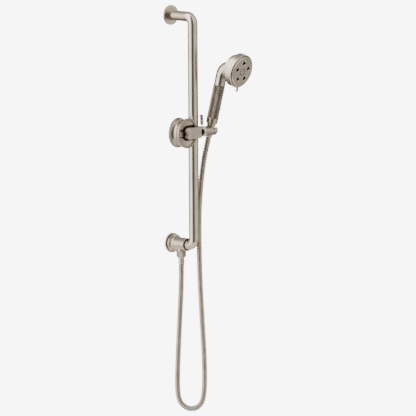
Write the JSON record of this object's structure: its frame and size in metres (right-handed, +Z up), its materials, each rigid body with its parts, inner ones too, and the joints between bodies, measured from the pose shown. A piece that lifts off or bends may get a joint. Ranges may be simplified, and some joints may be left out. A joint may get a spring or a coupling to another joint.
{
  "type": "slide-bar hand shower",
  "caption": "Wall-mounted hand shower: spray handset in a tilting cradle, on a slider with a grooved wheel, on a bent bar, fed by a ribbed metal hose from a wall elbow.",
  "frame": {"origin": "mouth of the supply inlet in the wall plane, at the lower wall flange's centre", "axes": "+Z up, along the slide bar; -Y into the room, away from the wall; +X to the right of someone facing the wall"},
  "size_m": [0.1741, 0.2127, 1.0177],
  "materials": {
    "nickel": "brushed warm nickel",
    "bar_nickel": "brushed warm nickel, grain along the tube",
    "knurled_nickel": "knurled nickel",
    "face_nickel": "satin nickel",
    "hose_metal": "ribbed metal hose",
    "dark_recess": "matt black",
    "rubber": "black rubber",
    "fibre": "fibre washer",
    "brass": "turned brass",
    "plastic_white": "moulded acetal",
    "plastic_black": "moulded black plastic",
    "steel": "stainless steel"
  },
  "bodies": {
    "wall": {"upper_bracket": "brass", "upper_flange": "nickel", "upper_bend": "nickel", "slide_bar": "bar_nickel", "set_screws": "steel", "lower_flange": "nickel", "flange_gasket": "rubber", "supply_elbow": "nickel", "bar_gasket": "rubber", "check_valve": "plastic_white", "lower_hose_nut": "nickel", "lower_hose_washer": "fibre", "lower_ferrule": "nickel", "hose": "hose_metal"},
    "sleeve": {"slider_bushing": "plastic_white"},
    "slider": {"carriage": "nickel", "arm": "nickel", "arm_cap": "nickel", "wheel_axle": "steel", "wheel_washer": "plastic_white", "cradle_spindle": "steel", "pivot_washer": "dark_recess"},
    "clamp_wheel": {"wheel": "nickel", "wheel_dish": "nickel", "dish_insert": "dark_recess"},
    "tilt_lock": {"tilt_ring": "nickel", "tilt_lever": "nickel", "lever_knob": "knurled_nickel"},
    "cradle": {"cradle": "nickel", "cradle_liner": "plastic_black"},
    "handset": {"hose_cone": "nickel", "upper_ferrule": "nickel", "upper_hose_washer": "fibre", "handle_end": "nickel", "inlet_filter": "plastic_black", "grip": "knurled_nickel", "neck": "nickel", "head_shell": "nickel", "water_core": "plastic_black", "seals": "rubber", "detent_ball": "steel", "detent_spring": "steel", "face_screw": "steel", "nozzle_mat": "rubber", "face_plate": "face_nickel"},
    "selector": {"selector_ring": "nickel", "selector_lever": "nickel", "diverter_disc": "plastic_black"}
  },
  "joints": [
    {"name": "slider_travel", "type": "slide", "parent": "wall", "child": "sleeve", "axis": [0, 0, 1], "range_m": [-0.225, 0.22], "deforming": ["hose"]},
    {"name": "slider_swivel", "type": "hinge", "parent": "sleeve", "child": "slider", "pos_m": [0, -0.08, 0.2857], "axis": [0, 0, 1], "range_deg": [-55, 55]},
    {"name": "wheel_clamp", "type": "hinge", "parent": "slider", "child": "clamp_wheel", "pos_m": [-0.04089, -0.08502, 0.2857], "axis": [0.1219, -0.9925, 0], "range_deg": [0, 90]},
    {"name": "tilt_lever_turn", "type": "hinge", "parent": "slider", "child": "tilt_lock", "pos_m": [0.01015, -0.10193, 0.2857], "axis": [0.9925, 0.1219, 0], "range_deg": [0, 45]},
    {"name": "cradle_tilt", "type": "hinge", "parent": "slider", "child": "cradle", "pos_m": [0.03258, -0.09917, 0.2857], "axis": [0.9925, 0.1219, 0], "range_deg": [-25, 30]},
    {"name": "handset_lift", "type": "slide", "parent": "cradle", "child": "handset", "axis": [0.0315, -0.2569, 0.9659], "range_m": [0, 0.06]},
    {"name": "spray_select", "type": "hinge", "parent": "handset", "child": "selector", "pos_m": [0.04522, -0.14305, 0.45396], "axis": [0.1177, -0.9587, -0.2588], "range_deg": [-36, 36]}
  ]
}
